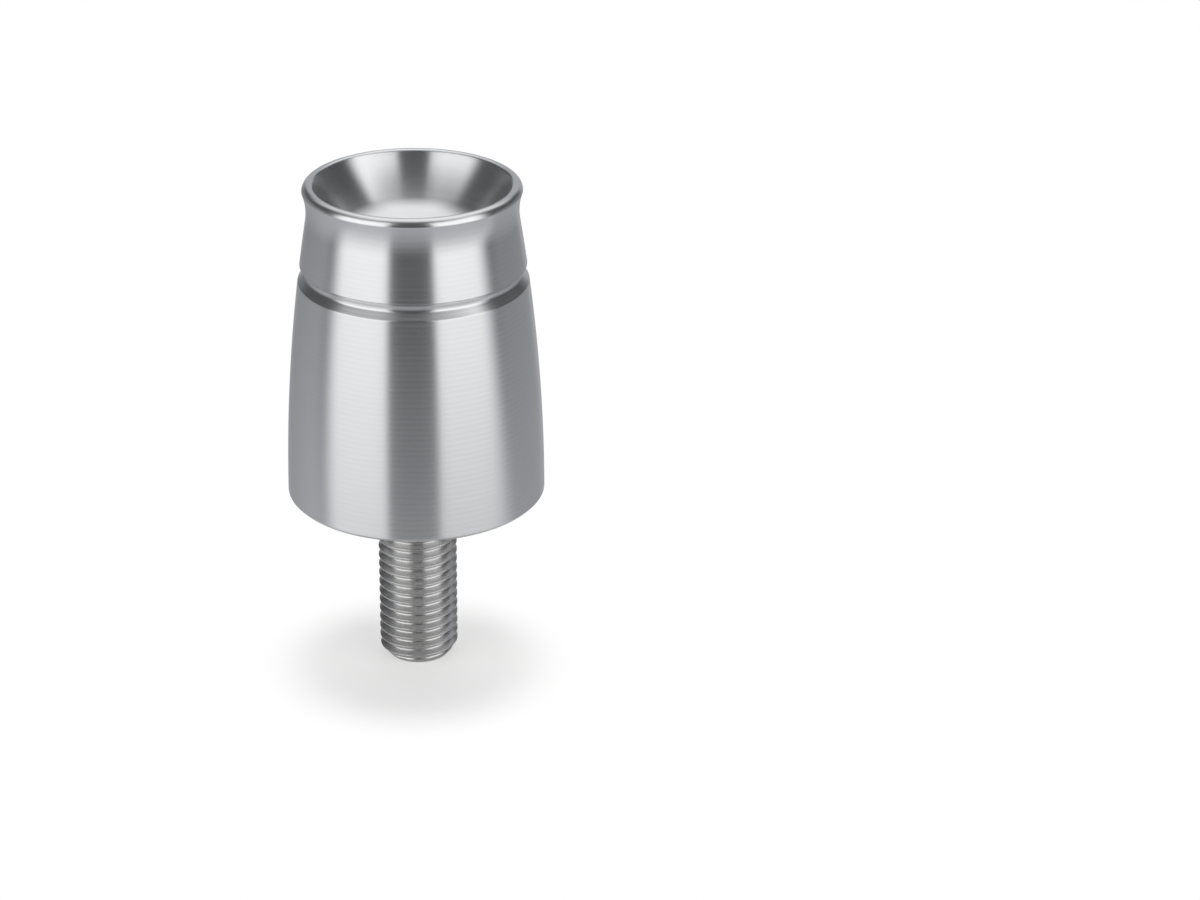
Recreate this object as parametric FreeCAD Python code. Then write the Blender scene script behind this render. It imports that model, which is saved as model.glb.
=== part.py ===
import FreeCAD, Part

import math
import os

# Handlebar end weight: a turned aluminium body and a steel stud fixed in it from behind.
# Millimetres. The common axis is Z. The origin is the centre of the flat face that seats on the
# handlebar, the rim is up and the stud points down.

# Body, overall
BODY_DIAMETER = 32.0            # widest, at the seating face
BODY_HEIGHT = 40.34             # seating face to the top of the lip
SIDE_ARC_RADIUS = 228.0         # barrel arc of the side
SIDE_ARC_WIDEST_BELOW = 1.5     # the arc would be widest this far below the seating face
SEAT_EDGE_CHAMFER = 0.4         # break of the outer edge of the seating face

# Waist and lip
NECK_ARC_RADIUS = 8.0           # hollow arc between the side and the lip
LIP_ROUND_RADIUS = 0.7          # outer half of the lip
LIP_FLARE = 0.44                # the lip stands this far outside the waist
LIP_LAND_WIDTH = 0.68           # inner half, from the top of the round to the recess
LIP_LAND_SLOPE_DEG = 20.0       # of that land, down towards the recess

# Step groove round the side
GROOVE_TOP_BELOW_RIM = 10.19    # top wall of the groove, from the top of the lip
GROOVE_WIDTH = 2.1              # along the axis, from edge to edge
GROOVE_DEPTH = 0.62             # of the top wall, square to the axis
GROOVE_SLOPE_DEG = 45.0         # of the lower wall, from the plane of the seating face
GROOVE_EDGE_BREAK = 0.12        # bevel of the edge above the groove

# Recess in the outer end
RECESS_SLOPE_DEG = 52.0         # of the conical wall, from the plane of the seating face
RECESS_DEPTH = 6.31             # lip top to the bottom of the bowl
RECESS_BOWL_RADIUS = 4.9        # hollow arc below the conical wall

# Key socket in the recess floor
KEY_ACROSS_FLATS = 8.0
KEY_DEPTH = 8.5                 # bottom of the bowl to the end of the flats
KEY_TURN_DEG = 10.0             # one corner of the hexagon, round the axis from +X
LEAD_IN_DIAMETER = 11.9         # countersink in front of the hexagon
LEAD_IN_SLOPE_DEG = 25.0        # of the countersink, from the plane of the seating face
PILOT_DIAMETER = 7.8            # drilled before the hexagon was broached
PILOT_PAST_KEY = 1.0            # full-diameter depth below the flats

# Stud, M10 with a fine pitch: its free end is a rod of the outer thread diameter
STUD_DIAMETER = 10.0
STUD_REACH = 23.0               # seating face to the free end
STUD_HELD = 15.0                # length inside the body
STUD_TIP_DIAMETER = 7.7         # flat at each end of the stud
STUD_TIP_LENGTH = 1.4           # bevel behind the free end's flat, along the axis
HELD_TIP_LENGTH = 0.9           # bevel behind the held end's flat, along the axis

# Engaged thread, where the stud and its hole are both drawn at the pitch diameter
THREAD_PITCH_DIAMETER = 9.19
THREAD_CLEARANCE = 0.03         # round the held end, on the radius

# Tapped hole for the stud
HOLE_PAST_STUD = 1.0            # tapped depth left beyond the stud
HOLE_MOUTH_DIAMETER = 11.8      # countersink of the hole at the seating face, 45 degrees

DRILL_POINT_DEG = 118.0         # included angle of every drilled bottom

OVERSHOOT = 2.0                 # reach of the cutting shape past the seating face

AXIS_POINT = FreeCAD.Vector(0, 0, 0)
AXIS = FreeCAD.Vector(0, 0, 1)

body_radius = BODY_DIAMETER / 2
held_radius = THREAD_PITCH_DIAMETER / 2
floor_z = BODY_HEIGHT - RECESS_DEPTH
groove_top_z = BODY_HEIGHT - GROOVE_TOP_BELOW_RIM
groove_bottom_z = groove_top_z - GROOVE_WIDTH
groove_edge_top_z = groove_top_z + GROOVE_EDGE_BREAK


def at(radius, height):
    """A point of a turned outline, in the XZ plane."""
    return FreeCAD.Vector(radius, 0, height)


def line(start, end):
    return Part.LineSegment(start, end).toShape()


def arc(start, middle, end):
    return Part.Arc(start, middle, end).toShape()


def turned(edges):
    """The solid that a closed outline makes round the axis."""
    face = Part.Face(Part.Wire(edges))
    return face.revolve(AXIS_POINT, AXIS, 360)


def turned_polygon(points):
    closed = points + [points[0]]
    return turned(Part.makePolygon(closed).Edges)


def on_circle(centre, radius, angle):
    """The point of a circle in the XZ plane at an angle from +X, in radians."""
    return centre + at(radius * math.cos(angle), radius * math.sin(angle))


def angle_of(vector):
    return math.atan2(vector.z, vector.x)


def arc_about(centre, radius, start_angle, end_angle):
    middle_angle = (start_angle + end_angle) / 2
    return arc(
        on_circle(centre, radius, start_angle),
        on_circle(centre, radius, middle_angle),
        on_circle(centre, radius, end_angle),
    )


def side_arc_centre():
    """Centre of the barrel arc, which passes through the edge of the seating face."""
    to_seat_edge = math.sqrt(SIDE_ARC_RADIUS ** 2 - SIDE_ARC_WIDEST_BELOW ** 2)
    return at(body_radius - to_seat_edge, -SIDE_ARC_WIDEST_BELOW)


def side_radius(height):
    """Radius of the barrel arc at a height."""
    centre = side_arc_centre()
    rise = height - centre.z
    return centre.x + math.sqrt(SIDE_ARC_RADIUS ** 2 - rise ** 2)


def neck_arc_centre():
    """Centre of the hollow arc that touches both the side arc and the lip's round."""
    lip_centre_z = BODY_HEIGHT - LIP_ROUND_RADIUS
    reach = NECK_ARC_RADIUS + LIP_ROUND_RADIUS
    drop = math.sqrt(reach ** 2 - (reach - LIP_FLARE) ** 2)
    height = lip_centre_z - drop
    side_centre = side_arc_centre()
    span = SIDE_ARC_RADIUS + NECK_ARC_RADIUS
    rise = height - side_centre.z
    return at(side_centre.x + math.sqrt(span ** 2 - rise ** 2), height)


def lip_centre():
    neck = neck_arc_centre()
    across = NECK_ARC_RADIUS + LIP_ROUND_RADIUS - LIP_FLARE
    return at(neck.x - across, BODY_HEIGHT - LIP_ROUND_RADIUS)


def drill_tip(radius):
    """Height of a drilled bottom's cone."""
    return radius / math.tan(math.radians(DRILL_POINT_DEG / 2))


def side_span(start_z, end_z):
    """The side's barrel arc between two heights."""
    centre = side_arc_centre()
    start = angle_of(at(side_radius(start_z), start_z) - centre)
    end = angle_of(at(side_radius(end_z), end_z) - centre)
    return arc_about(centre, SIDE_ARC_RADIUS, start, end)


def lower_side_edges():
    """Seating face, its edge break and the side up to the groove, in two spans."""
    chamfer_foot = at(side_radius(0) - SEAT_EDGE_CHAMFER, 0)
    chamfer_top = at(side_radius(SEAT_EDGE_CHAMFER), SEAT_EDGE_CHAMFER)
    halfway_z = groove_bottom_z / 2
    return [
        line(at(0, 0), chamfer_foot),
        line(chamfer_foot, chamfer_top),
        side_span(SEAT_EDGE_CHAMFER, halfway_z),
        side_span(halfway_z, groove_bottom_z),
    ]


def groove_edges():
    """Sloping lower wall, straight root, square top wall and its broken edge."""
    root_radius = side_radius(groove_top_z) - GROOVE_DEPTH
    lower_edge = at(side_radius(groove_bottom_z), groove_bottom_z)
    slope_rise = (lower_edge.x - root_radius) * math.tan(math.radians(GROOVE_SLOPE_DEG))
    root_bottom = at(root_radius, groove_bottom_z + slope_rise)
    root_top = at(root_radius, groove_top_z)
    edge_foot = at(side_radius(groove_top_z) - GROOVE_EDGE_BREAK, groove_top_z)
    edge_top = at(side_radius(groove_edge_top_z), groove_edge_top_z)
    return [
        line(lower_edge, root_bottom),
        line(root_bottom, root_top),
        line(root_top, edge_foot),
        line(edge_foot, edge_top),
    ]


def upper_side_edges():
    """The side above the groove, the waist and the outer half of the lip."""
    side_centre = side_arc_centre()
    neck = neck_arc_centre()
    lip = lip_centre()
    side_start = angle_of(at(side_radius(groove_edge_top_z), groove_edge_top_z) - side_centre)
    side_end = angle_of(neck - side_centre)
    full_turn = 2 * math.pi
    neck_start = angle_of(side_centre - neck) % full_turn
    neck_end = angle_of(lip - neck) % full_turn
    return [
        arc_about(side_centre, SIDE_ARC_RADIUS, side_start, side_end),
        arc_about(neck, NECK_ARC_RADIUS, neck_start, neck_end),
        arc_about(lip, LIP_ROUND_RADIUS, angle_of(neck - lip), math.pi / 2),
    ]


def recess_edges():
    """Land of the lip, conical wall, bowl and the countersink in front of the key socket."""
    land_drop = LIP_LAND_WIDTH * math.tan(math.radians(LIP_LAND_SLOPE_DEG))
    lip_top = at(lip_centre().x, BODY_HEIGHT)
    wall_top = lip_top - at(LIP_LAND_WIDTH, land_drop)

    slope = math.radians(RECESS_SLOPE_DEG)
    wall_meets_floor = wall_top.x - (wall_top.z - floor_z) / math.tan(slope)
    bowl_centre_radius = wall_meets_floor - RECESS_BOWL_RADIUS * math.tan(slope / 2)
    bowl_centre = at(bowl_centre_radius, floor_z + RECESS_BOWL_RADIUS)
    straight_down = -math.pi / 2
    wall_foot_angle = straight_down + slope
    wall_foot = on_circle(bowl_centre, RECESS_BOWL_RADIUS, wall_foot_angle)

    lead_in_radius = LEAD_IN_DIAMETER / 2
    past_centre = max(0, lead_in_radius - bowl_centre_radius)
    bowl_end_angle = straight_down + math.asin(past_centre / RECESS_BOWL_RADIUS)
    bowl_end = on_circle(bowl_centre, RECESS_BOWL_RADIUS, bowl_end_angle)
    lead_in_edge = at(lead_in_radius, bowl_end.z)
    lead_in_drop = lead_in_radius * math.tan(math.radians(LEAD_IN_SLOPE_DEG))
    lead_in_tip = at(0, bowl_end.z - lead_in_drop)

    edges = [
        line(lip_top, wall_top),
        line(wall_top, wall_foot),
        arc_about(bowl_centre, RECESS_BOWL_RADIUS, wall_foot_angle, bowl_end_angle),
    ]
    if past_centre == 0:
        edges.append(line(bowl_end, lead_in_edge))
    edges.append(line(lead_in_edge, lead_in_tip))
    edges.append(line(lead_in_tip, at(0, 0)))
    return edges


def turned_blank():
    """The turned body with its groove and its recess, before the socket and the hole."""
    return turned(lower_side_edges() + groove_edges() + upper_side_edges() + recess_edges())


def key_socket():
    """What is cut below the countersink: the hexagon and its drilled pilot."""
    corner_radius = KEY_ACROSS_FLATS / math.sqrt(3)
    flats_end_z = floor_z - KEY_DEPTH
    corners = []
    for corner in range(7):
        angle = math.radians(KEY_TURN_DEG + 60 * corner)
        corners.append(FreeCAD.Vector(
            corner_radius * math.cos(angle), corner_radius * math.sin(angle), flats_end_z
        ))
    hexagon = Part.Face(Part.makePolygon(corners)).extrude(AXIS * KEY_DEPTH)

    pilot_radius = PILOT_DIAMETER / 2
    pilot_end_z = flats_end_z - PILOT_PAST_KEY
    pilot = turned_polygon([
        at(0, pilot_end_z - drill_tip(pilot_radius)),
        at(pilot_radius, pilot_end_z),
        at(pilot_radius, floor_z),
        at(0, floor_z),
    ])
    return hexagon.fuse(pilot)


def tapped_hole():
    """The blind hole that holds the stud, countersunk at the seating face."""
    radius = held_radius + THREAD_CLEARANCE
    mouth_radius = HOLE_MOUTH_DIAMETER / 2
    depth = STUD_HELD + HOLE_PAST_STUD
    return turned_polygon([
        at(0, -OVERSHOOT),
        at(mouth_radius, -OVERSHOOT),
        at(mouth_radius, 0),
        at(radius, mouth_radius - radius),
        at(radius, depth),
        at(0, depth + drill_tip(radius)),
    ])


def make_weight_body():
    body = turned_blank().cut(key_socket())
    return body.cut(tapped_hole())


def make_threaded_stud():
    """The stud, bevelled at both ends, with its held end at the pitch diameter."""
    stud_radius = STUD_DIAMETER / 2
    tip_radius = STUD_TIP_DIAMETER / 2
    return turned_polygon([
        at(0, -STUD_REACH),
        at(tip_radius, -STUD_REACH),
        at(stud_radius, -STUD_REACH + STUD_TIP_LENGTH),
        at(stud_radius, 0),
        at(held_radius, 0),
        at(held_radius, STUD_HELD - HELD_TIP_LENGTH),
        at(tip_radius, STUD_HELD),
        at(0, STUD_HELD),
    ])


def save(name, shape):
    solids = shape.Solids
    if len(solids) != 1 or not shape.isValid():
        raise RuntimeError(name + " is not one valid solid")
    solid = solids[0]
    solid.exportStep("parts/" + name + ".step")
    box = solid.optimalBoundingBox()
    print(name, "volume mm3", round(solid.Volume, 1), "height", round(box.ZLength, 3))


os.makedirs("parts", exist_ok=True)
save("weight_body", make_weight_body())
save("threaded_stud", make_threaded_stud())
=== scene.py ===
import math

import bmesh
import bpy
from mathutils import Matrix, Vector


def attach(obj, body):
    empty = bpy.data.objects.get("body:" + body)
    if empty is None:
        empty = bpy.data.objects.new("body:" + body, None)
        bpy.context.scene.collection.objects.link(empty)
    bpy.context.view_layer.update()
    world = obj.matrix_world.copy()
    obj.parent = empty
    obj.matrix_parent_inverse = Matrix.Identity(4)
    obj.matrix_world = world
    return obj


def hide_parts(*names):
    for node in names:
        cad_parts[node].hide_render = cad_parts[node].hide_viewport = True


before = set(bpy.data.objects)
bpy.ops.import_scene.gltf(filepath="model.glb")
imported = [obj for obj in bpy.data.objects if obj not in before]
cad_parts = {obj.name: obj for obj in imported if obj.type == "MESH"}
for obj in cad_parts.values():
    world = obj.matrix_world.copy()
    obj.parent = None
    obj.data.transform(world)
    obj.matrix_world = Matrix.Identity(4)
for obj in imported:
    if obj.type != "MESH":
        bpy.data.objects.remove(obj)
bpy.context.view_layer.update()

# A handlebar end weight: a turned aluminium body and a threaded steel stud.
# Sizes here are in millimetres, in the frame of the CAD model, and become metres at the end.
MM = 0.001

# Body outline
BODY_RADIUS = 16.0
BODY_HEIGHT = 40.34
SIDE_ARC_RADIUS = 228.0
SIDE_ARC_WIDEST_Z = -1.5
SEAT_EDGE_CHAMFER = 0.4
SEAT_EDGE_ROUND = 0.12
NECK_ARC_RADIUS = 8.0
LIP_ROUND = 0.7                 # with the flare, this places the waist arc
LIP_FLARE = 0.44
LIP_CORNER_Z = 39.52            # the waist ends here, in a crisp corner under the lip
LIP_CORNER_DEG = 7.0            # slope of the lip's rounding above that corner

# Step groove
GROOVE_TOP_Z = 30.15
GROOVE_WIDTH = 2.1
GROOVE_DEPTH = 0.62
GROOVE_SLOPE_DEG = 45.0
GROOVE_LOWER_EDGE_ROUND = 0.2
GROOVE_LOWER_ROOT_ROUND = 0.4
GROOVE_UPPER_ROOT_ROUND = 1.0   # the cutter's nose, from the root to the upper edge

# Recess and key socket
RECESS_SLOPE_DEG = 52.0
RECESS_HOLLOW_DEG = 6.0         # the wall is this much steeper at its top and flatter at its foot
RECESS_FLOOR_Z = 34.03
BOWL_RADIUS = 4.9
LIP_LAND_WIDTH = 0.68           # with its slope, it places the conical wall
LIP_LAND_SLOPE_DEG = 20.0
LEAD_IN_RADIUS = 5.95
LEAD_IN_SLOPE_DEG = 25.0
KEY_ACROSS_FLATS = 8.0
KEY_TURN_DEG = 10.0
KEY_END_Z = 25.53
PILOT_RADIUS = 3.9
PILOT_END_Z = 24.53
DRILL_HALF_ANGLE_DEG = 59.0

# Hole for the stud, drawn round the thread's crests
HOLE_RADIUS = 5.03
HOLE_DEPTH = 16.0
HOLE_MOUTH_RADIUS = 5.9

# Stud thread, M10 x 1.25, rolled
THREAD_PITCH = 1.25
CREST_RADIUS = 4.95
ROOT_RADIUS = 4.23
CREST_FLAT = 0.16
FLANK_HALF_ANGLE_DEG = 30.0
STUD_LOW_Z = -23.0
STUD_HIGH_Z = 15.0
STUD_TIP_RADIUS = 3.85
STUD_TIP_LENGTH = 1.4
HELD_TIP_LENGTH = 0.9
BEVEL_MARGIN = 0.05             # over its length, each bevel rises this far past the crests
CREST_ROUNDING = [(0.6, 0.004), (1, 0.02)]              # shares of the half flat, and drops
FLANK_POINTS = [(0.08, 0.01), (0.18, 0), (0.82, 0)]     # shares of the flank, and drops below it
FLANK_FOOT = (0.95, 0.06)       # share of the flank, and rise above the root
ROOT_POINT = (0.5, 0.01)        # share of the half root, and rise above it

# Fineness of the meshes: points round the axis, and steps along the outline
AROUND_BODY = 288               # a multiple of 6, so that the hexagon's corners have points
AROUND_STUD = 120
AROUND_FLOOR = 128
HOLE_STEPS = 8
SEAT_STEPS = 6
EDGE_ROUND_STEPS = 4
SIDE_STEPS = 30
ROOT_ROUND_STEPS = 5
NOSE_STEPS = 12
UPPER_SIDE_STEPS = 8
WAIST_STEPS = 26
OUTER_LIP_STEPS = 12
INNER_LIP_STEPS = 8
WALL_STEPS = 12
BOWL_STEPS = 16
COUNTERSINK_RINGS = (0.03, 0.2, 0.4, 0.6, 0.8, 0.97, 1)             # shares of the way in
SOCKET_RINGS = (0.004, 0.03, 0.12, 0.3, 0.5, 0.7, 0.9, 0.995, 1)    # shares of the way down
NEAR_TIP = 0.97                 # place of a ring between the pilot hole's edge and its tip
EDGE_SUPPORT = 0.04             # a ring this near to each corner keeps the shading crisp
CREASE_DEG = 28.0
SAME_POINT = 1e-4               # outline points nearer than this are one
MERGE_M = 1e-7                  # in metres: points of the stud nearer than this are one
SAME_HEIGHT_M = 1e-8            # in metres


# Outline points are 2-D vectors of radius and height

def point(radius, height):
    return Vector((radius, height))


def polar(centre, radius, angle):
    return centre + radius * point(math.cos(angle), math.sin(angle))


def arc(centre, radius, start, end, steps):
    """Points of an arc, both ends included. Angles are radians from outward."""
    return [polar(centre, radius, start + (end - start) * i / steps) for i in range(steps + 1)]


def direction_to(centre, target):
    offset = target - centre
    return math.atan2(offset.y, offset.x)


def straight(start, end, steps=1):
    """Points of a straight run, with a support point close to each end."""
    length = (end - start).length
    inset = min(EDGE_SUPPORT, length / 4) / length
    shares = [0, inset] + [i / steps for i in range(1, steps)] + [1 - inset, 1]
    return [start.lerp(end, share) for share in shares]


def rounded_corner(before, corner, after, radius, steps):
    """Points of the arc that rounds a corner between two straight runs."""
    back = (before - corner).normalized()
    onward = (after - corner).normalized()
    half = back.angle(onward) / 2
    centre = corner + (back + onward).normalized() * radius / math.sin(half)
    start = direction_to(centre, corner + back * radius / math.tan(half))
    end = direction_to(centre, corner + onward * radius / math.tan(half))
    turn = (end - start + math.pi) % math.tau - math.pi
    return arc(centre, radius, start, start + turn, steps)


def hollow_run(start, end, bend, steps):
    """An arc between two points, hollow on its left side, that turns by twice the bend."""
    chord = end - start
    radius = chord.length / 2 / math.sin(bend)
    left = point(-chord.y, chord.x).normalized()
    centre = start.lerp(end, 0.5) + left * radius * math.cos(bend)
    return arc(centre, radius, direction_to(centre, start), direction_to(centre, end), steps)


def joined(*runs):
    """One list of points from several runs, with no point twice."""
    points = []
    for run in runs:
        for candidate in run:
            if not points or (candidate - points[-1]).length > SAME_POINT:
                points.append(candidate)
    return points


side_centre = point(
    BODY_RADIUS - math.sqrt(SIDE_ARC_RADIUS ** 2 - SIDE_ARC_WIDEST_Z ** 2), SIDE_ARC_WIDEST_Z
)


def side_point(height):
    """The barrel arc's point at a height."""
    rise = height - side_centre.y
    return point(side_centre.x + math.sqrt(SIDE_ARC_RADIUS ** 2 - rise ** 2), height)


def side_run(low, high, steps):
    heights = [low, low + EDGE_SUPPORT]
    heights += [low + (high - low) * i / steps for i in range(1, steps)]
    heights += [high - EDGE_SUPPORT, high]
    return [side_point(height) for height in heights]


def neck_and_lip():
    """Waist arc from the side to the lip, outer half of the lip, and the lip's top."""
    reach = NECK_ARC_RADIUS + LIP_ROUND
    neck_z = BODY_HEIGHT - LIP_ROUND - math.sqrt(reach ** 2 - (reach - LIP_FLARE) ** 2)
    span = SIDE_ARC_RADIUS + NECK_ARC_RADIUS
    neck = point(side_centre.x + math.sqrt(span ** 2 - (neck_z - side_centre.y) ** 2), neck_z)
    land_edge_x = neck.x - (reach - LIP_FLARE)
    neck_start = direction_to(neck, side_centre) % math.tau
    neck_end = math.pi - math.asin((LIP_CORNER_Z - neck.y) / NECK_ARC_RADIUS)

    corner = polar(neck, NECK_ARC_RADIUS, neck_end)
    lip_start = math.radians(LIP_CORNER_DEG)
    lip_round = (BODY_HEIGHT - corner.y) / (1 - math.sin(lip_start))
    lip = polar(corner, -lip_round, lip_start)
    waist_end = neck_end + EDGE_SUPPORT / NECK_ARC_RADIUS
    lip_support = lip_start + EDGE_SUPPORT / lip_round
    return land_edge_x, joined(
        arc(neck, NECK_ARC_RADIUS, neck_start, waist_end, WAIST_STEPS),
        arc(lip, lip_round, lip_start, lip_support, 1),
        arc(lip, lip_round, lip_support, math.pi / 2, OUTER_LIP_STEPS),
    )


def underside_run():
    """Drilled hole for the stud, its mouth, the seating face and its edge."""
    tip_z = HOLE_DEPTH + HOLE_RADIUS / math.tan(math.radians(DRILL_HALF_ANGLE_DEG))
    mouth_z = HOLE_MOUTH_RADIUS - HOLE_RADIUS
    chamfer_foot = point(side_point(0).x - SEAT_EDGE_CHAMFER, 0)
    chamfer_top = side_point(SEAT_EDGE_CHAMFER)
    mouth = point(HOLE_MOUTH_RADIUS, 0)
    return joined(
        straight(point(0, tip_z), point(HOLE_RADIUS, HOLE_DEPTH)),
        straight(point(HOLE_RADIUS, HOLE_DEPTH), point(HOLE_RADIUS, mouth_z), HOLE_STEPS),
        straight(point(HOLE_RADIUS, mouth_z), mouth),
        straight(mouth, chamfer_foot, SEAT_STEPS)[:-2],
        rounded_corner(mouth, chamfer_foot, chamfer_top, SEAT_EDGE_ROUND, EDGE_ROUND_STEPS),
        rounded_corner(
            chamfer_foot, chamfer_top, side_point(1), SEAT_EDGE_ROUND, EDGE_ROUND_STEPS
        ),
    )


def groove_run():
    """The groove from its lower edge, up its slope and root, to its upper edge."""
    bottom_z = GROOVE_TOP_Z - GROOVE_WIDTH
    root_radius = side_point(GROOVE_TOP_Z).x - GROOVE_DEPTH
    low_edge = side_point(bottom_z)
    rise = (low_edge.x - root_radius) * math.tan(math.radians(GROOVE_SLOPE_DEG))
    root_low = point(root_radius, bottom_z + rise)
    nose_turn = math.acos(1 - GROOVE_DEPTH / GROOVE_UPPER_ROOT_ROUND)
    nose_z = GROOVE_TOP_Z - GROOVE_UPPER_ROOT_ROUND * math.sin(nose_turn)
    nose = point(root_radius + GROOVE_UPPER_ROOT_ROUND, nose_z)
    root_high = point(root_radius, nose_z)
    below = side_point(bottom_z - 1)
    return joined(
        rounded_corner(below, low_edge, root_low, GROOVE_LOWER_EDGE_ROUND, EDGE_ROUND_STEPS),
        rounded_corner(low_edge, root_low, root_high, GROOVE_LOWER_ROOT_ROUND, ROOT_ROUND_STEPS),
        arc(nose, GROOVE_UPPER_ROOT_ROUND, math.pi, math.pi - nose_turn, NOSE_STEPS),
    )


def recess_run(land_edge_x, top):
    """Inner half of the lip, conical wall and bowl, down to the countersink's edge."""
    slope = math.radians(RECESS_SLOPE_DEG)
    land_drop = LIP_LAND_WIDTH * math.tan(math.radians(LIP_LAND_SLOPE_DEG))
    wall_top = point(land_edge_x - LIP_LAND_WIDTH, BODY_HEIGHT - land_drop)
    outward = point(-math.sin(slope), math.cos(slope))
    lip_round = (wall_top - top).dot(outward) / (1 - outward.y)
    inner_lip = top - point(0, lip_round)
    hollow = math.radians(RECESS_HOLLOW_DEG)
    lip_foot_angle = math.pi / 2 + slope + hollow
    lip_foot = polar(inner_lip, lip_round, lip_foot_angle)

    floor_corner_x = wall_top.x - (wall_top.y - RECESS_FLOOR_Z) / math.tan(slope)
    bowl = point(floor_corner_x - BOWL_RADIUS * math.tan(slope / 2), RECESS_FLOOR_Z + BOWL_RADIUS)
    straight_down = -math.pi / 2
    wall_foot_angle = straight_down + slope - hollow
    edge_angle = straight_down + math.asin((LEAD_IN_RADIUS - bowl.x) / BOWL_RADIUS)
    wall_foot = polar(bowl, BOWL_RADIUS, wall_foot_angle)
    return joined(
        arc(inner_lip, lip_round, math.pi / 2, lip_foot_angle, INNER_LIP_STEPS),
        hollow_run(wall_foot, lip_foot, hollow, WALL_STEPS)[::-1],
        arc(bowl, BOWL_RADIUS, wall_foot_angle, edge_angle, BOWL_STEPS),
    )


def body_outline():
    """The turned outline from the drilled hole's tip, up the outside, to the countersink."""
    land_edge_x, neck_points = neck_and_lip()
    underside = underside_run()
    groove = groove_run()
    return joined(
        underside,
        side_run(underside[-1].y, groove[0].y, SIDE_STEPS),
        groove,
        side_run(groove[-1].y, neck_points[0].y, UPPER_SIDE_STEPS),
        neck_points,
        recess_run(land_edge_x, neck_points[-1]),
    )


# Meshes

def placed(radius, angle, height):
    """A point in metres, from its distance from the axis, its angle round it and its height."""
    return Vector((radius * math.cos(angle), radius * math.sin(angle), height)) * MM


def hexagon_radius(angle):
    """Distance from the axis to the key socket's flats, at an angle round the axis."""
    sixth = math.pi / 3
    from_flat = (angle - math.radians(KEY_TURN_DEG)) % sixth - sixth / 2
    return KEY_ACROSS_FLATS / 2 / math.cos(from_flat)


def body_angles():
    turn = math.radians(KEY_TURN_DEG)
    return [turn + math.tau * i / AROUND_BODY for i in range(AROUND_BODY)]


def round_ring(outline_point):
    radius, height = outline_point
    return [placed(radius, angle, height) for angle in body_angles()]


def countersink_ring(edge, share):
    """A ring on the cone, part of the way from its round edge to the hexagon."""
    slope = math.tan(math.radians(LEAD_IN_SLOPE_DEG))
    ring = []
    for angle in body_angles():
        radius = edge.x + (hexagon_radius(angle) - edge.x) * share
        ring.append(placed(radius, angle, edge.y - (edge.x - radius) * slope))
    return ring


def hexagon_ring(height):
    return [placed(hexagon_radius(angle), angle, height) for angle in body_angles()]


def socket_wall_rings(edge):
    """The hexagon's flats, from their curved top edge down to their end."""
    top = countersink_ring(edge, 1)
    bottom = hexagon_ring(KEY_END_Z)
    return [
        [low.lerp(high, 1 - share) for low, high in zip(bottom, top)] for share in SOCKET_RINGS
    ]


def skin(bm, rings, start_tip, end_tip):
    """Faces between rings of points, with a fan from a tip at each end."""
    made = [[bm.verts.new(place) for place in ring] for ring in rings]
    count = len(made[0])
    for lower, upper in zip(made, made[1:]):
        for i in range(count):
            j = (i + 1) % count
            bm.faces.new((lower[i], lower[j], upper[j], upper[i]))
    tip = bm.verts.new(start_tip)
    for i in range(count):
        bm.faces.new((tip, made[0][(i + 1) % count], made[0][i]))
    tip = bm.verts.new(end_tip)
    for i in range(count):
        bm.faces.new((tip, made[-1][i], made[-1][(i + 1) % count]))


def finished_object(bm, name, material):
    """An object from the mesh, smooth apart from its real edges."""
    bmesh.ops.recalc_face_normals(bm, faces=bm.faces)
    mesh = bpy.data.meshes.new(name)
    bm.to_mesh(mesh)
    bm.free()
    mesh.materials.append(material)
    mesh.shade_smooth()
    mesh.set_sharp_from_angle(angle=math.radians(CREASE_DEG))
    piece = bpy.data.objects.new(name, mesh)
    bpy.context.scene.collection.objects.link(piece)
    return piece


def make_body(material):
    outline = body_outline()
    edge = outline[-1]
    rings = [round_ring(place) for place in outline[1:]]
    rings += [countersink_ring(edge, share) for share in COUNTERSINK_RINGS]
    rings += socket_wall_rings(edge)
    ledge = point(PILOT_RADIUS, KEY_END_Z)
    pilot_end = point(PILOT_RADIUS, PILOT_END_Z)
    pilot_tip_z = PILOT_END_Z - PILOT_RADIUS / math.tan(math.radians(DRILL_HALF_ANGLE_DEG))
    near_tip = pilot_end.lerp(point(0, pilot_tip_z), NEAR_TIP)
    rings += [round_ring(place) for place in (ledge, pilot_end, near_tip)]
    bm = bmesh.new()
    skin(bm, rings, placed(0, 0, outline[0].y), placed(0, 0, pilot_tip_z))
    return finished_object(bm, "turned_weight", material)


def thread_profile():
    """One pitch of the thread: shares of the pitch and radii, from a crest's middle."""
    depth = CREST_RADIUS - ROOT_RADIUS
    half_crest = CREST_FLAT / 2 / THREAD_PITCH
    flank = depth * math.tan(math.radians(FLANK_HALF_ANGLE_DEG)) / THREAD_PITCH
    half_root = 0.5 - half_crest - flank
    half = [(0, CREST_RADIUS)]
    for share, drop in CREST_ROUNDING:
        half.append((half_crest * share, CREST_RADIUS - drop))
    for share, drop in FLANK_POINTS:
        half.append((half_crest + flank * share, CREST_RADIUS - drop - depth * share))
    share, rise = FLANK_FOOT
    half.append((half_crest + flank * share, ROOT_RADIUS + rise))
    share, rise = ROOT_POINT
    half.append((half_crest + flank + half_root * share, ROOT_RADIUS + rise))
    mirrored = [(1 - share, radius) for share, radius in reversed(half[1:])]
    return half + [(0.5, ROOT_RADIUS)] + mirrored


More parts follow.
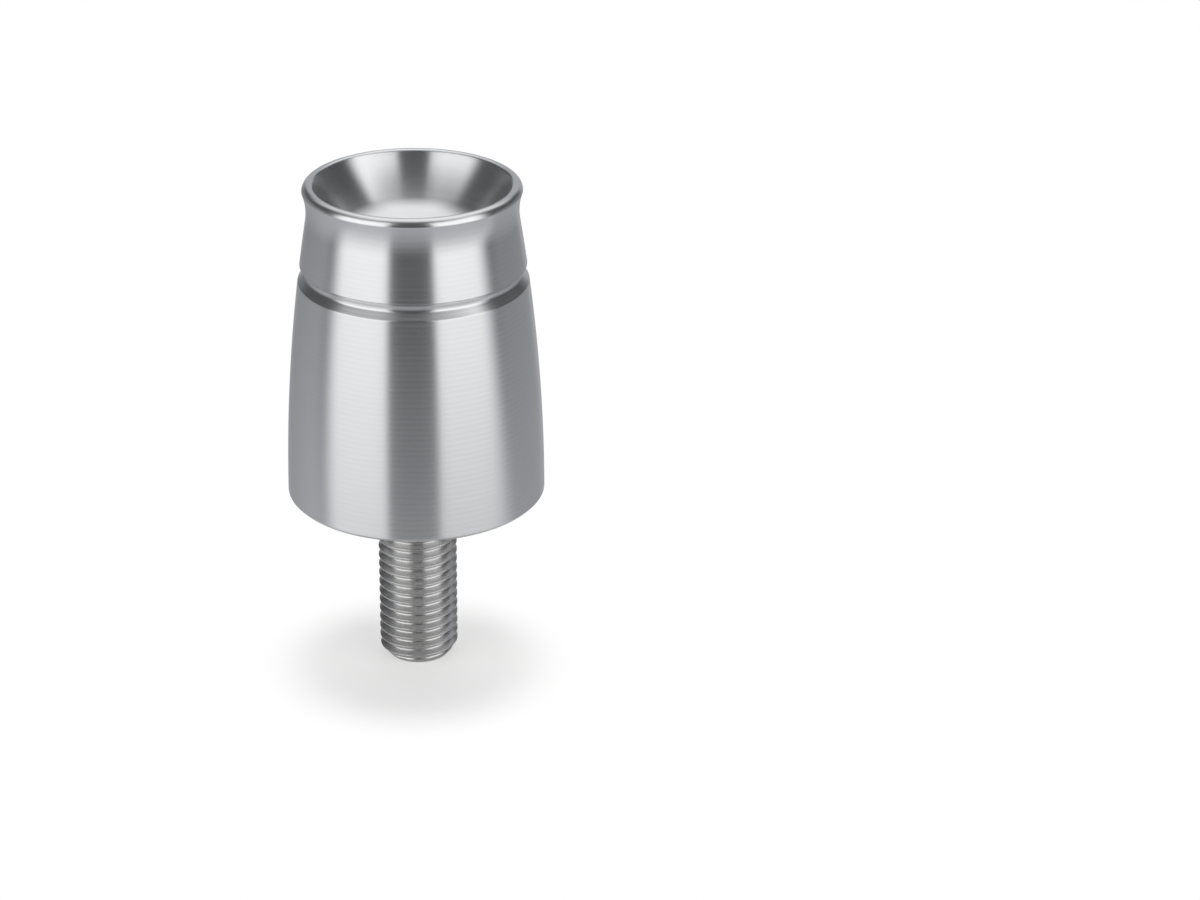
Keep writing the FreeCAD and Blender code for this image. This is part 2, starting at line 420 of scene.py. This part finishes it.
def stud_limit(height):
    """Radius of the bevel at either end of the stud, at a height."""
    low_rise = (height - STUD_LOW_Z) / STUD_TIP_LENGTH
    high_rise = (STUD_HIGH_Z - height) / HELD_TIP_LENGTH
    bevel = CREST_RADIUS - STUD_TIP_RADIUS + BEVEL_MARGIN
    return STUD_TIP_RADIUS + bevel * min(low_rise, high_rise)


def thread_column(bm, steps, share_round):
    """Points of the helical skin along the axis, cut off at the stud's ends and bevels."""
    column = []
    for step, thread_radius in steps:
        height = min(max((step + share_round) * THREAD_PITCH, STUD_LOW_Z), STUD_HIGH_Z)
        radius = min(thread_radius, stud_limit(height))
        column.append(bm.verts.new(placed(radius, math.tau * share_round, height)))
    return column


def make_stud(material):
    """The stud as one helical skin. Each turn round it climbs one pitch."""
    profile = thread_profile()
    first = math.floor(STUD_LOW_Z / THREAD_PITCH) - 1
    last = math.ceil(STUD_HIGH_Z / THREAD_PITCH) + 1
    steps = [(turn + share, radius) for turn in range(first, last) for share, radius in profile]
    bm = bmesh.new()
    columns = [thread_column(bm, steps, i / AROUND_STUD) for i in range(AROUND_STUD)]
    a_turn_higher = columns[0][len(profile):]
    for here, beside in zip(columns, columns[1:] + [a_turn_higher]):
        for k in range(min(len(here), len(beside)) - 1):
            bm.faces.new((here[k], beside[k], beside[k + 1], here[k + 1]))
    bmesh.ops.remove_doubles(bm, verts=bm.verts, dist=MERGE_M)
    for height in (STUD_LOW_Z, STUD_HIGH_Z):
        close_end(bm, height)
    return finished_object(bm, "rolled_stud", material)


def close_end(bm, height):
    """A flat end inside the bevel's last ring: a fan of faces round its centre."""
    rim = [
        edge for edge in bm.edges if edge.is_boundary
        and all(abs(vert.co.z - height * MM) < SAME_HEIGHT_M for vert in edge.verts)
    ]
    tip = bm.verts.new(placed(0, 0, height))
    for edge in rim:
        bm.faces.new((edge.verts[0], edge.verts[1], tip))


# Nodes. A node value is a socket or a plain number.
NOISE_RANGE = (0.3, 0.7)        # most of a noise lies between these


class Nodes:
    """Adds nodes to one tree and links what they are given."""

    def __init__(self, tree):
        self.tree = tree
        tree.nodes.clear()

    def add(self, kind, **settings):
        node = self.tree.nodes.new(kind)
        for name, value in settings.items():
            setattr(node, name, value)
        return node

    def feed(self, socket, value):
        if isinstance(value, bpy.types.NodeSocket):
            self.tree.links.new(value, socket)
        else:
            socket.default_value = value

    def math(self, operation, *values):
        node = self.add("ShaderNodeMath", operation=operation)
        for socket, value in zip(node.inputs, values):
            self.feed(socket, value)
        return node.outputs[0]

    def times(self, first, second):
        return self.math("MULTIPLY", first, second)

    def smooth(self, value, low, high, start=0.0, end=1.0):
        """From start to end, smoothly, while the value goes from low to high."""
        node = self.add("ShaderNodeMapRange", interpolation_type="SMOOTHSTEP")
        for name, item in (("Value", value), ("From Min", low), ("From Max", high),
                           ("To Min", start), ("To Max", end)):
            self.feed(node.inputs[name], item)
        return node.outputs["Result"]

    def fade(self, value, low, high):
        """From 1 to 0, smoothly, while the value goes from low to high."""
        return self.smooth(value, low, high, 1.0, 0.0)

    def stretched(self, noise):
        """A noise that uses the whole range from 0 to 1."""
        return self.smooth(noise, *NOISE_RANGE)

    def distance(self, x, y):
        """Length of a flat vector."""
        return self.math("SQRT", self.math("ADD", self.times(x, x), self.times(y, y)))

    def blend(self, share, first, second):
        node = self.add("ShaderNodeMix", data_type="FLOAT")
        self.feed(node.inputs["Factor"], share)
        self.feed(node.inputs["A"], first)
        self.feed(node.inputs["B"], second)
        return node.outputs["Result"]

    def tint(self, share, first, second):
        """A colour between two colours."""
        node = self.add("ShaderNodeMix", data_type="RGBA")
        self.feed(node.inputs["Factor"], share)
        colours = [socket for socket in node.inputs if socket.type == "RGBA"]
        self.feed(colours[0], (*first, 1))
        self.feed(colours[1], (*second, 1))
        return [socket for socket in node.outputs if socket.type == "RGBA"][0]

    def curve(self, value, stops):
        """A value that follows a few stops of position and level, both from 0 to 1."""
        ramp = self.add("ShaderNodeValToRGB")
        elements = ramp.color_ramp.elements
        while len(elements) < len(stops):
            elements.new(1.0)
        for element, (position, level) in zip(elements, stops):
            element.position = position
            element.color = (level, level, level, 1)
        self.feed(ramp.inputs["Fac"], value)
        return ramp.outputs["Color"]

    def noise(self, vector, scale, detail=2.0, w=None):
        node = self.add("ShaderNodeTexNoise", noise_dimensions="3D" if w is None else "4D")
        self.feed(node.inputs["Vector"], vector)
        self.feed(node.inputs["Scale"], scale)
        self.feed(node.inputs["Detail"], detail)
        if w is not None:
            self.feed(node.inputs["W"], w)
        return node.outputs["Fac"]

    def vector(self, x, y, z):
        node = self.add("ShaderNodeCombineXYZ")
        for socket, value in zip(node.inputs, (x, y, z)):
            self.feed(socket, value)
        return node.outputs[0]

    def place(self):
        """Object coordinates as a vector, x, y, z and the distance from the axis."""
        vector = self.add("ShaderNodeTexCoord").outputs["Object"]
        split = self.add("ShaderNodeSeparateXYZ")
        self.feed(split.inputs[0], vector)
        x, y, z = split.outputs
        return vector, x, y, z, self.distance(x, y)

    def mixed(self, share, first, second):
        """A shader between two shaders."""
        node = self.add("ShaderNodeMixShader")
        for socket, value in zip(node.inputs, (share, first.outputs[0], second.outputs[0])):
            self.feed(socket, value)
        return node

    def show(self, kind, shader):
        """Links a shader to the tree's output."""
        self.feed(self.add(kind).inputs["Surface"], shader.outputs[0])


def new_material(name):
    material = bpy.data.materials.new(name)
    material.use_nodes = True
    return material, Nodes(material.node_tree)


# Metals
RINGS_PER_MM = 9.0              # turning marks, across them
ALUMINIUM_DRIFT_PER_MM = 0.05   # how soon a turning mark changes on its way round
STEEL_DRIFT_PER_MM = 0.5
FEED_PITCH = 0.72               # from one even ring of the tool to the next
CLOSE_FEED_PITCH = 0.24
FEED_WANDER = 5.0               # radians by which the clouds shift those rings
CLOUDS_PER_MM = 0.10
PATCHES_PER_MM = 0.4
CLOUD_DETAIL = 3.0
RING_DETAIL = 1.5
ALUMINIUM_COLOURS = ((0.795, 0.800, 0.806), (0.815, 0.820, 0.825))
ALUMINIUM_RINGS_IN_COLOUR = 0.3
ALUMINIUM_ROUGHNESS = (0.24, 0.27)
ALUMINIUM_CLOUDS_IN_ROUGHNESS = 0.5
ALUMINIUM_ANISOTROPY = 0.75
QUARTER_TURN = 0.25             # reflections are drawn out across the turning marks
ALUMINIUM_RELIEF = 0.0006
FINE_HEIGHT = 0.5               # shares of that relief
FEED_HEIGHT = 3.5
CLOSE_FEED_HEIGHT = 1.0
STEEL_COLOURS = ((0.675, 0.673, 0.670), (0.715, 0.713, 0.710))
STEEL_ROUGHNESS = (0.24, 0.30)
STEEL_PATCHES_IN_ROUGHNESS = 0.6
STEEL_RELIEF = 0.0005


def turned_rings(nodes, drift_per_mm):
    """Noise that is drawn out into rings round the axis, as a lathe tool leaves them."""
    _, x, y, z, radius = nodes.place()
    across = RINGS_PER_MM / MM
    along = drift_per_mm / MM
    vector = nodes.vector(
        nodes.times(radius, across), nodes.times(z, across), nodes.times(x, along)
    )
    return nodes.noise(vector, 1.0, RING_DETAIL, w=nodes.times(y, along))


def feed_marks(nodes, pitch, clouds):
    """Even rings, one for each turn of the work under the tool, from 0 to 1."""
    _, _, _, z, radius = nodes.place()
    along_outline = nodes.math("SUBTRACT", z, radius)
    turns = nodes.times(along_outline, math.tau / (pitch * MM))
    turns = nodes.math("ADD", turns, nodes.times(clouds, FEED_WANDER))
    return nodes.smooth(nodes.math("SINE", turns), -1.0, 1.0)


def metal(nodes, colour, roughness, height, relief):
    """A metal with a fine relief, shown as the material's surface."""
    shader = nodes.add("ShaderNodeBsdfPrincipled")
    shader.inputs["Metallic"].default_value = 1.0
    nodes.feed(shader.inputs["Base Color"], colour)
    nodes.feed(shader.inputs["Roughness"], roughness)
    bump = nodes.add("ShaderNodeBump")
    bump.inputs["Strength"].default_value = 1.0
    bump.inputs["Distance"].default_value = relief * MM
    nodes.feed(bump.inputs["Height"], height)
    nodes.feed(shader.inputs["Normal"], bump.outputs[0])
    nodes.show("ShaderNodeOutputMaterial", shader)
    return shader


def make_anodised_aluminium():
    material, nodes = new_material("anodised_aluminium")
    fine = turned_rings(nodes, ALUMINIUM_DRIFT_PER_MM)
    clouds = nodes.noise(nodes.place()[0], CLOUDS_PER_MM / MM, CLOUD_DETAIL)
    tone = nodes.stretched(nodes.blend(ALUMINIUM_RINGS_IN_COLOUR, clouds, fine))
    colour = nodes.tint(tone, *ALUMINIUM_COLOURS)
    dullness = nodes.blend(
        ALUMINIUM_CLOUDS_IN_ROUGHNESS, nodes.stretched(fine), nodes.stretched(clouds)
    )
    roughness = nodes.smooth(dullness, 0.0, 1.0, *ALUMINIUM_ROUGHNESS)
    feed = nodes.times(feed_marks(nodes, FEED_PITCH, clouds), FEED_HEIGHT)
    close_feed = nodes.times(feed_marks(nodes, CLOSE_FEED_PITCH, clouds), CLOSE_FEED_HEIGHT)
    height = nodes.math("ADD", nodes.times(fine, FINE_HEIGHT), feed)
    height = nodes.math("ADD", height, close_feed)

    shader = metal(nodes, colour, roughness, height, ALUMINIUM_RELIEF)
    shader.inputs["Anisotropic"].default_value = ALUMINIUM_ANISOTROPY
    shader.inputs["Anisotropic Rotation"].default_value = QUARTER_TURN
    tangent = nodes.add("ShaderNodeTangent", direction_type="RADIAL", axis="Z")
    nodes.feed(shader.inputs["Tangent"], tangent.outputs[0])
    return material


def make_stainless_steel():
    material, nodes = new_material("stainless_steel")
    rolled = turned_rings(nodes, STEEL_DRIFT_PER_MM)
    patches = nodes.noise(nodes.place()[0], PATCHES_PER_MM / MM, CLOUD_DETAIL)
    colour = nodes.tint(nodes.stretched(patches), *STEEL_COLOURS)
    dullness = nodes.blend(
        STEEL_PATCHES_IN_ROUGHNESS, nodes.stretched(rolled), nodes.stretched(patches)
    )
    roughness = nodes.smooth(dullness, 0.0, 1.0, *STEEL_ROUGHNESS)
    metal(nodes, colour, roughness, rolled, STEEL_RELIEF)
    return material


def background_share(nodes, in_metal):
    """How much of the white background a ray sees: all of it straight from the camera and
    through glass, and a part of it as a reflection in metal."""
    path = nodes.add("ShaderNodeLightPath")
    direct = nodes.math(
        "MAXIMUM", path.outputs["Is Camera Ray"], path.outputs["Is Transmission Ray"]
    )
    mirrored = nodes.times(path.outputs["Is Glossy Ray"], in_metal)
    return nodes.math("MAXIMUM", direct, mirrored)


# Floor: a small disc that is really lit, so that it takes the object's shadow. The camera
# sees it lifted to white, and towards its edge it runs into the white of the background. The
# metal shows a part of that white.
FLOOR_Z = -23.02
FLOOR_RADIUS = 46.0
FLOOR_FADE_START = 10.5         # distances between which the shadow runs out
FLOOR_FADE_END = 20.5
FLOOR_FADE_CENTRE_Y = -3.5
FLOOR_COLOUR = 0.80
FLOOR_SPECKLE = 0.01
FLOOR_SPECKLES_PER_MM = 0.5
FLOOR_NOISE_RANGE = (0.2, 0.8)
FLOOR_WARMTH = 0.015            # it makes up for the blue of the walls, so that the shadow is grey
FLOOR_LIFT = 0.42
FLOOR_SHARE_IN_METAL = 0.1


def make_floor_material():
    material, nodes = new_material("pale_floor")
    place, x, y, _, _ = nodes.place()
    speckle = nodes.noise(place, FLOOR_SPECKLES_PER_MM / MM)
    darkest = FLOOR_COLOUR - FLOOR_SPECKLE
    lightest = FLOOR_COLOUR + FLOOR_SPECKLE
    level = nodes.smooth(speckle, *FLOOR_NOISE_RANGE, darkest, lightest)
    red = nodes.times(level, 1 + FLOOR_WARMTH)
    blue = nodes.times(level, 1 - FLOOR_WARMTH)
    lit = nodes.add("ShaderNodeBsdfDiffuse")
    nodes.feed(lit.inputs["Color"], nodes.vector(red, level, blue))
    lift = nodes.add("ShaderNodeEmission")
    lift.inputs["Strength"].default_value = FLOOR_LIFT
    lifted = nodes.add("ShaderNodeAddShader")
    nodes.feed(lifted.inputs[0], lit.outputs[0])
    nodes.feed(lifted.inputs[1], lift.outputs[0])
    white = nodes.add("ShaderNodeEmission")
    distance = nodes.distance(x, nodes.math("SUBTRACT", y, FLOOR_FADE_CENTRE_Y * MM))
    fading = nodes.smooth(distance, FLOOR_FADE_START * MM, FLOOR_FADE_END * MM)
    seen_directly = nodes.mixed(fading, lifted, white)
    share = background_share(nodes, FLOOR_SHARE_IN_METAL)
    nodes.show("ShaderNodeOutputMaterial", nodes.mixed(share, lit, seen_directly))
    return material


def make_floor():
    bm = bmesh.new()
    bmesh.ops.create_circle(bm, cap_ends=True, segments=AROUND_FLOOR, radius=FLOOR_RADIUS * MM)
    mesh = bpy.data.meshes.new("floor")
    bm.to_mesh(mesh)
    bm.free()
    mesh.materials.append(make_floor_material())
    floor = bpy.data.objects.new("floor", mesh)
    floor.location = (0, 0, FLOOR_Z * MM)
    bpy.context.scene.collection.objects.link(floor)


# Light: a studio drawn in the world, as smooth windows by direction. Azimuth is in degrees
# from -Y towards +X, and elevation in degrees above the horizon. Levels are brightnesses,
# where 1 is a white surface in full light.
STUDIO_LEVEL = 1.25
LEFT_BOX_OUTER = (-89, -69)     # azimuths between which each box's soft edges run
LEFT_BOX_INNER = (-23.2, -17.2)
RIGHT_BOX_INNER = (22.3, 28.3)
RIGHT_BOX_OUTER = (71, 92)
LEFT_HIGH_SPREAD = (15, 0.2)    # above this elevation, the outer edge moves out at this rate
RIGHT_HIGH_SPREAD = (15, 0.4)
RIGHT_LOW_SPREAD = (-13, 1.3)   # below this elevation, it moves out too
RIGHT_BOX_LOW = (-27, -12, 0.62, 1.0)   # between these elevations, its level grows
BOX_TOP = (45, 59)              # elevations between which both boxes end
LEFT_TOP_FALL = (-46, -0.3)     # beyond this azimuth, the left box's top falls at this rate
LEFT_BACK_STARTS = (-99, -75)   # azimuths between which the front wall turns into the back wall
RIGHT_BACK_STARTS = (84, 104)
BACK_BY_SIDE = (-60, 60, 1.08, 0.86)    # the back wall is brighter on the left
BACK_FAR_LEFT = (-150, -95, 0.78, 1.0)  # and weaker at its far left end
BEHIND_STARTS = (150, 162)      # azimuths, either side, where the wall behind the object starts
WALL_TINT = (0.965, 0.985, 1.03)    # the walls are slightly blue, and the boxes white
WHITE = (1, 1, 1)
WHITE_FROM = (0.38, 0.85)       # levels between which the tint runs out
BACKDROP_TOP = (-12, 2)         # elevations between which the white background ends
BACKDROP_IN_METAL = 0.2
OVERHEAD_FRONT = (-34, 14)      # tilts from straight up: the panel's soft front edge,
OVERHEAD_REAR = (44, 68)        # its rear edge
OVERHEAD_SIDE = (12, 50)        # and its sides
OVERHEAD_LEVEL = 0.82
GAP_BY_ELEVATION = [
    (-90, 0.35), (-45, 0.33), (-26, 0.25), (-20, 0.19),
    (-15, 0.14), (-9, 0.085), (-4, 0.065), (90, 0.065),
]
BOX_BY_ELEVATION = [
    (-90, 0.38), (-38, 0.43), (-22, 0.70), (-3, 0.88), (12, 0.97), (90, 1.0),
]
BACK_BY_ELEVATION = [
    (-90, 0.36), (-24, 0.34), (-17, 0.28), (-10, 0.23), (6, 0.20), (14, 0.06), (90, 0.06),
]
BEHIND_BY_ELEVATION = [
    (-90, 0.23), (-12, 0.23), (0, 0.34), (38, 0.36),
    (45, 0.60), (57, 0.72), (75, 0.80), (90, 0.80),
]


def make_world():
    world = bpy.data.worlds.new("studio")
    bpy.context.scene.world = world
    world.use_nodes = True
    nodes = Nodes(world.node_tree)
    split = nodes.add("ShaderNodeSeparateXYZ")
    nodes.feed(split.inputs[0], nodes.add("ShaderNodeTexCoord").outputs["Generated"])
    x, y, z = split.outputs
    toward = nodes.times(y, -1.0)
    azimuth = nodes.math("DEGREES", nodes.math("ARCTAN2", x, toward))
    elevation = nodes.math("DEGREES", nodes.math("ARCSINE", z))
    behind = nodes.smooth(nodes.math("ABSOLUTE", azimuth), *BEHIND_STARTS)

    round_about = nodes.blend(
        box_share(nodes, azimuth, elevation),
        wall_level(nodes, azimuth, elevation, behind),
        by_elevation(nodes, elevation, BOX_BY_ELEVATION),
    )
    level = nodes.math("MAXIMUM", round_about, overhead_level(nodes, x, y, z))
    studio = nodes.add("ShaderNodeBackground")
    nodes.feed(studio.inputs["Strength"], nodes.times(level, STUDIO_LEVEL))
    tint = nodes.tint(nodes.smooth(level, *WHITE_FROM), WALL_TINT, WHITE)
    nodes.feed(studio.inputs["Color"], tint)

    white = nodes.add("ShaderNodeBackground")
    white.inputs["Color"].default_value = (*WHITE, 1)
    backdrop = nodes.times(behind, nodes.fade(elevation, *BACKDROP_TOP))
    share = background_share(nodes, nodes.times(backdrop, BACKDROP_IN_METAL))
    nodes.show("ShaderNodeOutputWorld", nodes.mixed(share, studio, white))


def by_elevation(nodes, elevation, stops):
    """A level that follows stops of elevation in degrees and level."""
    position = nodes.math("DIVIDE", nodes.math("ADD", elevation, 90.0), 180.0)
    return nodes.curve(position, [((degrees + 90) / 180, level) for degrees, level in stops])


def shift_past(nodes, angle, spread, side):
    """Degrees by which an edge of a box moves, past a limit on one side of an angle."""
    limit, rate = spread
    return nodes.times(nodes.math(side, nodes.math("SUBTRACT", angle, limit), 0.0), rate)


def box_share(nodes, azimuth, elevation):
    """How much of the two boxes a direction sees."""
    left_high = shift_past(nodes, elevation, LEFT_HIGH_SPREAD, "MAXIMUM")
    right_high = shift_past(nodes, elevation, RIGHT_HIGH_SPREAD, "MAXIMUM")
    right_low = shift_past(nodes, elevation, RIGHT_LOW_SPREAD, "MINIMUM")
    left_outer = nodes.math("ADD", azimuth, left_high)
    right_outer = nodes.math("ADD", nodes.math("SUBTRACT", azimuth, right_high), right_low)
    left = nodes.times(
        nodes.smooth(left_outer, *LEFT_BOX_OUTER), nodes.fade(azimuth, *LEFT_BOX_INNER)
    )
    right = nodes.times(
        nodes.smooth(azimuth, *RIGHT_BOX_INNER), nodes.fade(right_outer, *RIGHT_BOX_OUTER)
    )
    right = nodes.times(right, nodes.smooth(elevation, *RIGHT_BOX_LOW))
    fall = shift_past(nodes, azimuth, LEFT_TOP_FALL, "MINIMUM")
    below_top = nodes.fade(nodes.math("ADD", elevation, fall), *BOX_TOP)
    return nodes.times(nodes.math("ADD", left, right), below_top)


def wall_level(nodes, azimuth, elevation, behind):
    """Brightness of the walls round the boxes: in front, at the back, and behind the object."""
    gap = by_elevation(nodes, elevation, GAP_BY_ELEVATION)
    back = by_elevation(nodes, elevation, BACK_BY_ELEVATION)
    back = nodes.times(back, nodes.smooth(azimuth, *BACK_BY_SIDE))
    back = nodes.times(back, nodes.smooth(azimuth, *BACK_FAR_LEFT))
    back = nodes.blend(behind, back, by_elevation(nodes, elevation, BEHIND_BY_ELEVATION))
    left_back = nodes.fade(azimuth, *LEFT_BACK_STARTS)
    right_back = nodes.smooth(azimuth, *RIGHT_BACK_STARTS)
    return nodes.blend(nodes.math("ADD", left_back, right_back), gap, back)


def overhead_level(nodes, x, y, z):
    """Brightness of the soft panel overhead."""
    backward_tilt = nodes.math("DEGREES", nodes.math("ARCTAN2", y, z))
    sideways_tilt = nodes.math("DEGREES", nodes.math("ARCSINE", nodes.math("ABSOLUTE", x)))
    overhead = nodes.times(
        nodes.smooth(backward_tilt, *OVERHEAD_FRONT), nodes.fade(backward_tilt, *OVERHEAD_REAR)
    )
    overhead = nodes.times(overhead, nodes.fade(sideways_tilt, *OVERHEAD_SIDE))
    return nodes.times(overhead, OVERHEAD_LEVEL)


# Camera, at the photograph's viewing angle
CAMERA_PLACE = (32.110, -344.298, 164.758)
CAMERA_TURN_DEG = 1.529
CAMERA_DOWN_DEG = 24.801
CAMERA_LEAN_DEG = 0.735
CAMERA_LENS = 91.448
SENSOR_WIDTH = 36.0
CLIP_START_M = 0.01             # in metres, as the next
CLIP_END_M = 10


def make_camera():
    data = bpy.data.cameras.new("camera")
    data.lens = CAMERA_LENS
    data.sensor_fit = "HORIZONTAL"
    data.sensor_width = SENSOR_WIDTH
    data.clip_start = CLIP_START_M
    data.clip_end = CLIP_END_M
    camera = bpy.data.objects.new("camera", data)
    bpy.context.scene.collection.objects.link(camera)
    turn = Matrix.Rotation(math.radians(CAMERA_TURN_DEG), 4, "Z")
    tilt = Matrix.Rotation(math.radians(90 - CAMERA_DOWN_DEG), 4, "X")
    lean = Matrix.Rotation(math.radians(CAMERA_LEAN_DEG), 4, "Z")
    camera.matrix_world = Matrix.Translation(Vector(CAMERA_PLACE) * MM) @ turn @ tilt @ lean
    bpy.context.scene.camera = camera


def set_view():
    bpy.context.scene.view_settings.view_transform = "Standard"


def dress_part():
    body = make_body(make_anodised_aluminium())
    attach(body, "root")
    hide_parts("weight_body")
    stud = make_stud(make_stainless_steel())
    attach(stud, "root")
    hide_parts("threaded_stud")


dress_part()
make_floor()
make_world()
make_camera()
set_view()
